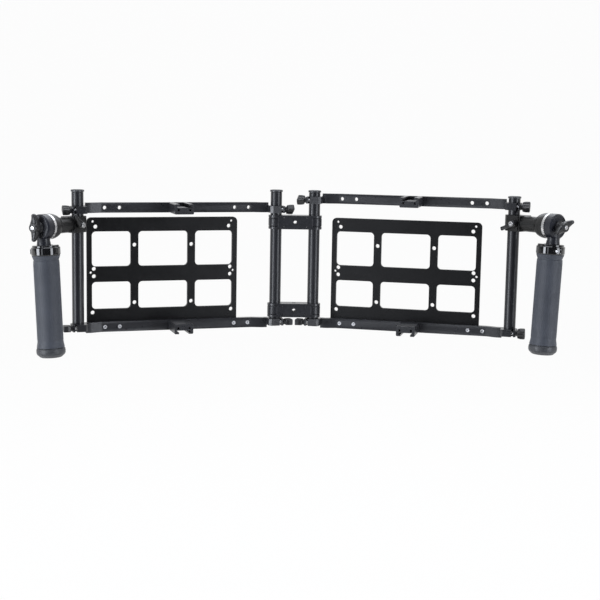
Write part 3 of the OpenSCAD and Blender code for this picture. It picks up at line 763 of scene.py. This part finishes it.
@dataclass(frozen=True)
class HandleClamp:
    """A handle clamp with its stem, rosette and stud, and its lever."""

    side: Side
    lever_at: Triple = (12.0, -11.3, 0.0)
    lever_turns: Pair = (43.0, 204.0)
    hub_l: float = 7.0
    hub_r: float = 4.5
    bore: float = 2.6
    arm_start: float = 2.4
    arm_l: float = 20.0
    arm_w: Triple = (3.7, 2.2, 2.7)
    arm_t: Pair = (1.9, 1.55)
    arm_rise: Pair = (-2.0, -1.1)

    def build(self, nodes: dict[str, bpy.types.Object]) -> None:
        """Dresses the clamp and builds its lever.

        Args:
            nodes: All nodes by name.
        """
        dress(nodes, {"handle_clamp": Finish.CLAMP, "lever_screw": Finish.STEEL,
                      "rosette_stud": Finish.STEEL}, self.side, 0.35)
        dress(nodes, {"rosette": Finish.STEEL}, self.side, 0.12)
        self.build_lever()

    def build_lever(self) -> None:
        """Builds the lever: a turned hub and a moulded arm that thins and rises to its tip."""
        form = Form()
        bore, hub, top = self.bore, self.hub_r, self.hub_l
        form.lathe(rounded([(bore, 0, 0), (hub - 0.4, 0, 0.3), (hub - 0.4, 1.2, 0.1), (hub, 1.6, 0.2),
                            (hub, top, 0.7), (bore + 0.7, top, 0.2), (bore + 0.5, top - 0.4, 0.1),
                            (bore, top - 0.4, 0)]), 40)
        form.loft(self.arm())
        turn = self.side.pick(self.lever_turns)
        frame = (LAYOUT.handle(self.side) @ Matrix.Translation(self.lever_at)
                 @ Matrix.Rotation(math.radians(-turn), 4, "Y") @ Matrix.Rotation(math.radians(90), 4, "X"))
        form.place(self.side.node("lever"), frame, Finish.KNOB, self.side.node("clamp_lever"),
                   [self.side.node("clamp_lever")], 50)

    def arm(self, steps: int = 14) -> list[list[Triple]]:
        """Sections of the lever's arm, from its hub to its tip.

        Args:
            steps: Spans between the sections.

        Returns:
            Rings of points.
        """
        root, waist, tip = self.arm_w
        sections = []
        for k in range(steps + 1):
            t = k / steps
            x = self.arm_start + (self.arm_l - self.arm_start) * t
            end = math.sqrt(max(0.0, 1 - smooth_step(t, 0.86, 1.0) ** 2)) * 0.9 + 0.1
            width = ease(t, (root, waist), (0.1, 0.6)) + ease(t, (0.0, tip - waist), (0.6, 0.95))
            thick = self.arm_t[0] + (self.arm_t[1] - self.arm_t[0]) * t
            rise = self.hub_l + ease(t, self.arm_rise, (0.35, 0.9))
            sections.append([(x, y, rise + z) for y, z in oval(width * end, thick * end, 3.2, 28)])
        return sections


@dataclass(frozen=True)
class HandGrip:
    """A hand grip: toothed head, glossy collar, rubber sleeve and end cap."""

    side: Side
    axis_x: float = 63.3
    core_r: float = 9.2
    collar_top: float = -22.0
    collar_r: float = 17.7
    sleeve_top: float = -34.5
    sleeve_r: float = 15.75
    cap_top: float = -148.0
    foot: float = -160.0
    lock_turns: Pair = (64.0, -22.0)
    pad_l: float = 5.4
    pad_h: float = 3.5
    lug_at: Point = (4.6, 2.3)
    lug_l: float = 1.5
    lug_h: float = 1.2
    lock_screw_at: float = -1.6
    diamonds: int = 36
    diamond_h: float = 2.9
    relief: float = 0.34
    plain_end: Pair = (8.5, 10.5)

    @property
    def frame(self) -> Matrix:
        """Frame with the grip's axis on Z and the rosette's axis at Z = 0."""
        return LAYOUT.grip(self.side) @ Matrix.Translation((self.axis_x, 0, 0))

    def build(self, nodes: dict[str, bpy.types.Object]) -> None:
        """Dresses the head and builds the rest of the grip.

        Args:
            nodes: All nodes by name.
        """
        dress(nodes, {"handle_head": Finish.HEAD}, self.side, 0.3)
        self.build_collar()
        self.build_sleeve()
        self.build_cap()

    def build_collar(self) -> None:
        """Builds the collar, its stepped top and its drop-shaped lock."""
        core, r, top, low = self.core_r, self.collar_r, self.collar_top, self.sleeve_top
        form = Form()
        form.lathe(rounded([(core, top, 0), (r - 2.3, top, 0.4), (r - 1.5, top - 0.5, 0.3),
                            (r - 1.3, top - 2.3, 0.2), (r - 0.5, top - 2.6, 0.3), (r, top - 3.2, 0.4),
                            (r, low + 1.0, 0.4), (r - 0.5, low + 0.2, 0.3), (r - 0.9, low, 0.1),
                            (core, low, 0)]), 96)
        form.place(self.side.node("collar"), self.frame, Finish.GLOSS, self.side.node("handle"),
                   [self.side.node("grip_collar")], 35)
        self.build_lock()

    def over_collar(self, along: float, lift: float, height: float) -> Vector:
        """A point over the collar's side.

        Args:
            along: Distance round the collar from its +X side.
            lift: Distance out from the collar's side.
            height: Height along the grip's axis.

        Returns:
            The point in the grip's frame.
        """
        bend = along / self.collar_r
        radius = self.collar_r + lift
        return Vector((radius * math.cos(bend), radius * math.sin(bend), height))

    def build_lock(self) -> None:
        """Builds the collar's lock: a drop-shaped pad with a screw, and two lugs at its blunt end."""
        form = Form()
        middle = (self.collar_top - 3.0 + self.sleeve_top) / 2
        turn = self.side.pick(self.lock_turns)
        around = Matrix.Rotation(math.radians(turn), 4, "Z")
        form.loft([[around @ p for p in self.pad_ring(middle, lift, grow)]
                   for lift, grow in ((-0.8, 1.0), (0.55, 1.0), (0.95, 0.93), (1.0, 0.82))])
        for up in (-self.lug_at[1], self.lug_at[1]):
            form.loft([[around @ p for p in self.lug_ring(middle + up, lift, grow)]
                       for lift, grow in ((-0.8, 1.0), (1.3, 1.0), (1.8, 0.8), (1.9, 0.5))])
        form.place(self.side.node("collar_lock"), self.frame, Finish.GLOSS, self.side.node("handle"),
                   (), 35)
        screw = Form()
        seat = around @ Matrix.Rotation(self.lock_screw_at / self.collar_r, 4, "Z")
        seat = seat @ Matrix.Translation((self.collar_r + 0.7, 0, middle)) @ ALONG_X
        screw.lathe(rounded([(0.001, 0.15, 0), (0.75, 0.15, 0.1), (0.8, 0.55, 0.1),
                             (1.35, 0.6, 0.2), (1.45, 0, 0)]), 28, seat)
        screw.place(self.side.node("lock_screw"), self.frame, Finish.STEEL, self.side.node("handle"))

    def pad_ring(self, middle: float, lift: float, grow: float, count: int = 48) -> list[Vector]:
        """One section of the lock's pad.

        Args:
            middle: Height of the pad's middle.
            lift: Distance out from the collar's side.
            grow: Share of the pad's full outline.
            count: Points round it.

        Returns:
            Points of the section.
        """
        ring = []
        for i in range(count):
            angle = 2 * math.pi * i / count
            along = self.pad_l * math.cos(angle)
            taper = 1.0 if along > 0 else 1.0 - (along / self.pad_l) ** 2 * 0.55
            up = self.pad_h * math.sin(angle) * taper
            ring.append(self.over_collar(along * grow, lift, middle + up * grow))
        return ring

    def lug_ring(self, middle: float, lift: float, grow: float) -> list[Vector]:
        """One section of a lug of the lock.

        Args:
            middle: Height of the lug's middle.
            lift: Distance out from the collar's side.
            grow: Share of the lug's full outline.

        Returns:
            Points of the section.
        """
        outline = oval(self.lug_l * grow, self.lug_h * grow, 3.0, 20)
        return [self.over_collar(y + self.lug_at[0], lift, middle + z) for y, z in outline]

    def lattice(self, angle: float, height: float) -> float:
        """Height of the sleeve's diamonds at a point.

        Args:
            angle: Angle round the grip's axis.
            height: Height along the axis.

        Returns:
            Radius to add there.
        """
        fade = (smooth_step(self.sleeve_top - height, *self.plain_end)
                * smooth_step(height - self.cap_top, *self.plain_end))
        if fade <= 0:
            return 0.0
        a = self.diamonds * angle / 2
        b = math.pi * height / self.diamond_h
        ridge = min(abs(math.sin(a + b)), abs(math.sin(a - b)))
        return self.relief * fade * (smooth_step(ridge, 0.05, 0.55) - 0.6)

    def build_sleeve(self) -> None:
        """Builds the rubber sleeve: a lip at each end and a body cut into fine diamonds."""
        core, top, low, r = self.core_r, self.sleeve_top, self.cap_top, self.sleeve_r
        lip = self.collar_r - 0.6
        start, end, steps = top - 8.0, low + 8.5, 220
        head = rounded([(core, top, 0), (lip - 0.3, top, 0.2), (lip, top - 0.5, 0.3),
                        (lip - 0.3, top - 1.6, 0.5), (r - 0.55, top - 5.6, 0.6),
                        (r - 0.5, top - 6.4, 0.3), (r, top - 6.9, 0.5), (r, start, 0)])
        body = [(r, start - (start - end) * k / steps) for k in range(1, steps)]
        foot = rounded([(r, end, 0), (r + 0.1, low + 7.0, 1.2), (lip - 0.4, low + 2.2, 1.6),
                        (lip, low + 0.6, 0.5), (lip - 0.4, low + 0.1, 0.2), (core, low + 0.1, 0)])
        form = Form()
        form.lathe(head + body + foot, 6 * self.diamonds, Matrix(), self.lattice)
        form.place(self.side.node("sleeve"), self.frame, Finish.RUBBER, self.side.node("handle"),
                   [self.side.node("grip_rubber")], 60)

    def build_cap(self) -> None:
        """Builds the end cap: a seam, a band that swells a little and a dished, bevelled foot."""
        top, low = self.cap_top, self.foot
        r = self.collar_r
        profile = rounded([(self.core_r, top - 0.2, 0), (r - 1.4, top - 0.2, 0.1),
                           (r - 1.4, top - 0.8, 0.1), (r - 0.3, top - 0.9, 0.4),
                           (r + 0.1, top - 3.5, 1.6), (r - 0.1, low + 5.2, 1.2),
                           (r - 0.9, low + 3.6, 0.8), (r - 4.6, low + 0.3, 0.8), (r - 6.0, low, 0.6),
                           (7.5, low, 0.4), (6.8, low + 0.6, 0.4), (0.001, low + 0.7, 0)])
        form = Form()
        form.lathe(profile, 96)
        form.place(self.side.node("end_cap"), self.frame, Finish.CAP, self.side.node("handle"),
                   [self.side.node("grip_end_cap")], 50)


@dataclass(frozen=True)
class WingNut:
    """The wing nut that presses a grip on its rosette."""

    side: Side
    at_x: float = 73.9
    turns: Pair = (0.0, -65.0)
    height: float = 11.6
    flange_r: float = 7.4
    wing_start: float = 3.6
    reach: float = 17.0
    bore: float = 3.05
    wing_w: Pair = (5.2, 3.2)
    wing_t: Pair = (4.9, 2.4)
    wing_z: Pair = (5.6, 8.7)

    def build(self, nodes: dict[str, bpy.types.Object]) -> None:
        """Builds the nut: a turned hub on a flange, and two wings that rise to round tips.

        Args:
            nodes: All nodes by name; not used here.
        """
        form = Form()
        h, b, r = self.height, self.bore, self.flange_r
        form.lathe(rounded([(b, 0, 0), (r, 0, 0.3), (r, 1.0, 0.4), (r - 0.9, 1.6, 0.6),
                            (r - 1.5, h - 1.0, 0.8), (r - 2.2, h, 0.5), (b + 0.5, h, 0.2),
                            (b, h - 0.5, 0)]), 56)
        for turn in (0.0, math.pi):
            form.loft(self.wing(Matrix.Rotation(turn, 4, "Z")))
        angle = self.side.pick(self.turns) + LAYOUT.tilt
        frame = (LAYOUT.grip(self.side) @ Matrix.Translation((self.at_x, 0, 0))
                 @ Matrix.Rotation(math.radians(angle), 4, "X") @ ALONG_X)
        form.place(self.side.node("nut"), frame, Finish.KNOB, self.side.node("wing_nut"),
                   [self.side.node("wing_nut")], 50)

    def wing(self, turn: Matrix, steps: int = 24) -> list[list[Vector]]:
        """Sections of one wing, from the hub to the tip.

        Args:
            turn: Its turn about the nut's axis.
            steps: Spans between the sections.

        Returns:
            Rings of points.
        """
        sections = []
        for k in range(steps + 1):
            t = k / steps
            x = self.wing_start + (self.reach - self.wing_start) * (1 - (1 - t) ** 1.4)
            round_end = math.sqrt(max(0.0, 1 - smooth_step(t, 0.6, 1.0) ** 2)) * 0.94 + 0.06
            width = ease(t, self.wing_w, (0.0, 0.7)) * round_end
            thick = ease(t, self.wing_t, (0.0, 0.8)) * round_end
            middle = ease(t, self.wing_z, (0.1, 0.85))
            sections.append([turn @ Vector((x, y, middle + z)) for y, z in oval(thick, width, 3.0, 40)])
        return sections


@dataclass(frozen=True)
class Thumbscrew:
    """A clamp screw: a steel shank, a collar and a flat, grooved knob that widens outward."""

    side: Side
    place: str
    far_end: bool
    top: bool
    turn: float
    axis_y: float = -10.1
    axis_z: float = 4.5
    shank_in: float = 4.8
    seat: float = 8.8
    collar_l: float = 2.0
    wing_l: float = 9.8
    waist_r: float = 5.3
    wing_r: float = 6.4
    wing_t: float = 8.0
    corner_r: float = 1.2
    groove_at: float = 2.4
    groove_half: float = 1.1
    groove_depth: float = 0.9
    groove_margin: float = 1.8

    @classmethod
    def all_of(cls, side: Side) -> list["Thumbscrew"]:
        """The four thumbscrews of one cage.

        The lower bar is turned over, so its far end is the inner one.

        Args:
            side: The cage.

        Returns:
            The thumbscrews.
        """
        turns = {Side.LEFT: (25, -35, 0, 0), Side.RIGHT: (40, 30, 62, 0)}[side]
        places = (("thumb_top_outer", True, True), ("thumb_top_inner", False, True),
                  ("thumb_low_outer", False, False), ("thumb_low_inner", True, False))
        return [cls(side, name, far, top, turn) for (name, far, top), turn in zip(places, turns)]

    @property
    def frame(self) -> Matrix:
        """Frame with the screw's axis on Z, pointing outward from the rod's axis.

        Returns:
            Matrix from the screw's millimetres to metres.
        """
        bar = LAYOUT.top_bar(self.side) if self.top else LAYOUT.lower_bar(self.side)
        if self.far_end:
            bar = bar @ Matrix.Translation((LAYOUT.bar_w, 0, 0)) @ Matrix.Diagonal((-1, 1, 1, 1))
        bar = bar @ Matrix.Translation((0, self.axis_y, self.axis_z))
        turn = Matrix.Rotation(math.radians(self.turn), 4, "X")
        return bar @ turn @ ALONG_X @ Matrix.Diagonal((1, 1, -1, 1))

    def build(self, nodes: dict[str, bpy.types.Object]) -> None:
        """Builds the knob and the shank.

        Args:
            nodes: All nodes by name; not used here.
        """
        node = self.side.node(self.place)
        form = Form()
        base = self.seat
        end = base + self.collar_l + 0.4
        form.lathe(rounded([(1.9, base, 0), (3.8, base, 0.3), (3.8, base + 0.8, 0.3),
                            (3.4, base + 1.1, 0.2), (3.4, end, 0), (1.9, end, 0)]), 40)
        form.loft(self.knob())
        form.place(f"{node}_knob", self.frame, Finish.KNOB, node, [node], 50)
        shank = Form()
        start = Matrix.Translation((0, 0, -self.shank_in))
        SHANK_THREAD.cut(shank, start, self.shank_in + self.seat + 1.0)
        shank.place(f"{node}_shank", self.frame, Finish.STEEL, node)

    def knob(self) -> list[list[Vector]]:
        """Sections of the knob, from its collar to its outer end.

        Returns:
            Rings of points.
        """
        start = self.seat + self.collar_l
        ends = [(0.0, 1.3), (0.012, 0.8), (0.035, 0.4), (0.07, 0.12), (0.11, 0.0)]
        body = [(k / 16, 0.0) for k in range(3, 14)]
        stations = ends + body + [(1 - t, inset) for t, inset in ends[::-1]]
        sections = []
        for t, inset in stations:
            wide = self.waist_r + (self.wing_r - self.waist_r) * smooth_step(t, 0.0, 0.5)
            share = smooth_step(t, 0.06, 0.2) * (1 - smooth_step(t, 0.8, 0.94))
            ring = []
            for x, y in slab(self.wing_t / 2 - inset, wide - inset, self.corner_r):
                sunk = self.groove(y, wide) * share
                ring.append(Vector((x - math.copysign(sunk, x), y, start + self.wing_l * t)))
            sections.append(ring)
        return sections

    def groove(self, y: float, wide: float) -> float:
        """Depth of the grooves in the knob's broad faces.

        Args:
            y: Place across the knob.
            wide: Half of the knob's width there.

        Returns:
            The depth.
        """
        if abs(y) >= wide - self.groove_margin:
            return 0.0
        off = min(1.0, abs(abs(y) - self.groove_at) / self.groove_half)
        return self.groove_depth * math.cos(off * math.pi / 2)


@dataclass(frozen=True)
class Lamp:
    """A soft box: degrees round from the front and above the horizon, metres, and watts."""

    name: str
    azimuth: float
    elevation: float
    distance: float
    size: Pair
    power: float

    def add(self, aim: Vector, colour: Colour) -> None:
        """Adds the lamp to the scene.

        Args:
            aim: Point that it faces.
            colour: Colour of its light.
        """
        az, el = math.radians(self.azimuth), math.radians(self.elevation)
        away = Vector((math.sin(az) * math.cos(el), -math.cos(az) * math.cos(el), math.sin(el)))
        data = bpy.data.lights.new(self.name, "AREA")
        data.shape = "RECTANGLE"
        data.size, data.size_y = self.size
        data.energy = self.power
        data.color = colour
        lamp = bpy.data.objects.new(self.name, data)
        lamp.location = aim + away * self.distance
        lamp.rotation_euler = away.to_track_quat("Z", "Y").to_euler()
        bpy.context.scene.collection.objects.link(lamp)


@dataclass(frozen=True)
class Studio:
    """White studio: pale floor, tall soft boxes at the sides, lights above and behind, and the camera."""

    camera_at: Triple = (-57.6, -1683.8, 254.0)
    lens: float = 76.507
    pitch: float = 7.84
    yaw: float = 2.24
    roll: float = 1.01
    floor_z: float = -0.42
    floor_half: float = 6.0
    floor_rows: tuple[float, ...] = (-0.8, 0.6, 2.2)
    sweep_r: float = 1.0
    wall_top: float = 3.5
    floor_glow: float = 0.96
    world_span: Pair = (-0.25, 0.35)
    world_light: Pair = (0.06, 0.9)
    aim: Triple = (0.0, -0.05, 0.07)
    lamp_colour: Colour = (0.92, 0.96, 1.03)
    lamps: tuple[Lamp, ...] = (
        Lamp("key_box", -57, 1, 2.2, (0.80, 1.5), 36.0),
        Lamp("side_box", 51, 1, 2.2, (0.80, 1.5), 24.0),
        Lamp("fill_box", -27, 1, 2.4, (0.36, 1.4), 3.2),
        Lamp("top_box", 0, 80, 1.6, (1.6, 0.9), 20.0),
        Lamp("back_box", 168, 42, 1.7, (1.4, 0.8), 8.0),
    )

    def build(self) -> None:
        """Sets up the camera, the lights, the floor and the world."""
        self.add_camera()
        self.add_floor()
        self.add_world()
        for lamp in self.lamps:
            lamp.add(Vector(self.aim), self.lamp_colour)
        bpy.context.scene.view_settings.view_transform = "Standard"

    def add_camera(self) -> None:
        """Puts the camera where the photograph was taken from."""
        pitch, yaw, roll = (math.radians(v) for v in (self.pitch, self.yaw, self.roll))
        ahead = Vector((math.sin(yaw) * math.cos(pitch), math.cos(yaw) * math.cos(pitch), -math.sin(pitch)))
        right = Vector((math.cos(yaw), -math.sin(yaw), 0.0))
        up = right.cross(ahead)
        turned = right * math.cos(roll) + up * math.sin(roll)
        upright = up * math.cos(roll) - right * math.sin(roll)
        data = bpy.data.cameras.new("camera")
        data.lens = self.lens
        data.sensor_width = 36.0
        data.clip_end = 50.0
        camera = bpy.data.objects.new("camera", data)
        turn = Matrix((turned, upright, -ahead)).transposed().to_4x4()
        camera.matrix_world = Matrix.Translation(Vector(self.camera_at) * MM) @ turn
        bpy.context.scene.collection.objects.link(camera)
        bpy.context.scene.camera = camera

    def add_floor(self) -> None:
        """Lays the pale floor, which sweeps up behind the object."""
        form = bmesh.new()
        half, bend, r = self.floor_half, self.floor_rows[-1], self.sweep_r
        rows = [(y, 0.0) for y in self.floor_rows]
        for k in range(1, 17):
            angle = math.pi / 2 * k / 16
            rows.append((bend + r * math.sin(angle), r * (1 - math.cos(angle))))
        rows.append((bend + r, self.wall_top))
        edges = [[form.verts.new((x, y, self.floor_z + z)) for x in (-half, half)] for y, z in rows]
        for (a, b), (c, d) in zip(edges, edges[1:]):
            form.faces.new((a, b, d, c)).smooth = True
        data = bpy.data.meshes.new("floor")
        form.to_mesh(data)
        form.free()
        data.materials.append(self.floor_material())
        floor = bpy.data.objects.new("floor", data)
        bpy.context.scene.collection.objects.link(floor)

    def floor_material(self) -> bpy.types.Material:
        """White to the camera and in reflections, plain and matt to the rest of the light.

        Returns:
            The floor's material.
        """
        nodes = Nodes("pale_floor")
        nodes.set(Roughness=0.9, IOR=1.3)
        nodes.shader.inputs["Base Color"].default_value = (0.92, 0.92, 0.92, 1.0)
        glow = nodes.add("ShaderNodeEmission")
        path = nodes.add("ShaderNodeLightPath")
        seen = nodes.add("ShaderNodeMath", operation="MAXIMUM")
        nodes.link(path.outputs["Is Camera Ray"], seen.inputs[0])
        nodes.link(path.outputs["Is Glossy Ray"], seen.inputs[1])
        share = nodes.add("ShaderNodeMath", operation="MULTIPLY")
        share.inputs[1].default_value = self.floor_glow
        nodes.link(seen.outputs["Value"], share.inputs[0])
        mix = nodes.add("ShaderNodeMixShader")
        nodes.link(share.outputs["Value"], mix.inputs["Fac"])
        nodes.link(nodes.shader.outputs["BSDF"], mix.inputs[1])
        nodes.link(glow.outputs["Emission"], mix.inputs[2])
        nodes.link(mix.outputs["Shader"], nodes.tree.nodes["Material Output"].inputs["Surface"])
        return nodes.material

    def add_world(self) -> None:
        """White to the camera and behind the object, dimmer on the studio's dark side."""
        world = bpy.data.worlds.new("studio")
        bpy.context.scene.world = world
        world.use_nodes = True
        tree = world.node_tree
        back = tree.nodes["Background"]
        coords = tree.nodes.new("ShaderNodeTexCoord")
        split = tree.nodes.new("ShaderNodeSeparateXYZ")
        tree.links.new(coords.outputs["Generated"], split.inputs["Vector"])
        span = tree.nodes.new("ShaderNodeMapRange")
        limits = self.world_span + self.world_light
        for name, value in zip(("From Min", "From Max", "To Min", "To Max"), limits):
            span.inputs[name].default_value = value
        tree.links.new(split.outputs["Y"], span.inputs["Value"])
        path = tree.nodes.new("ShaderNodeLightPath")
        white = tree.nodes.new("ShaderNodeMath")
        white.operation = "MAXIMUM"
        tree.links.new(path.outputs["Is Camera Ray"], white.inputs[0])
        tree.links.new(span.outputs["Result"], white.inputs[1])
        tree.links.new(white.outputs["Value"], back.inputs["Strength"])
        back.inputs["Color"].default_value = (1.0, 1.0, 1.0, 1.0)


def main() -> None:
    """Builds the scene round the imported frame."""
    logging.basicConfig(level=logging.INFO, format="%(message)s")
    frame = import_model()
    nodes = frame["nodes"]
    Studio().build()
    LOG.info("studio and camera set")
    Hinge().build(nodes)
    LOG.info("hinge links dressed")
    for side in Side:
        parts = (Cage(side), TopBar(side), HandleClamp(side), HandGrip(side), WingNut(side))
        for part in parts:
            part.build(nodes)
            LOG.info("%s %s built", side.tag, type(part).__name__)
        for thumb in Thumbscrew.all_of(side):
            thumb.build(nodes)
        LOG.info("%s thumbscrews built", side.tag)


if __name__ == "__main__":
    main()
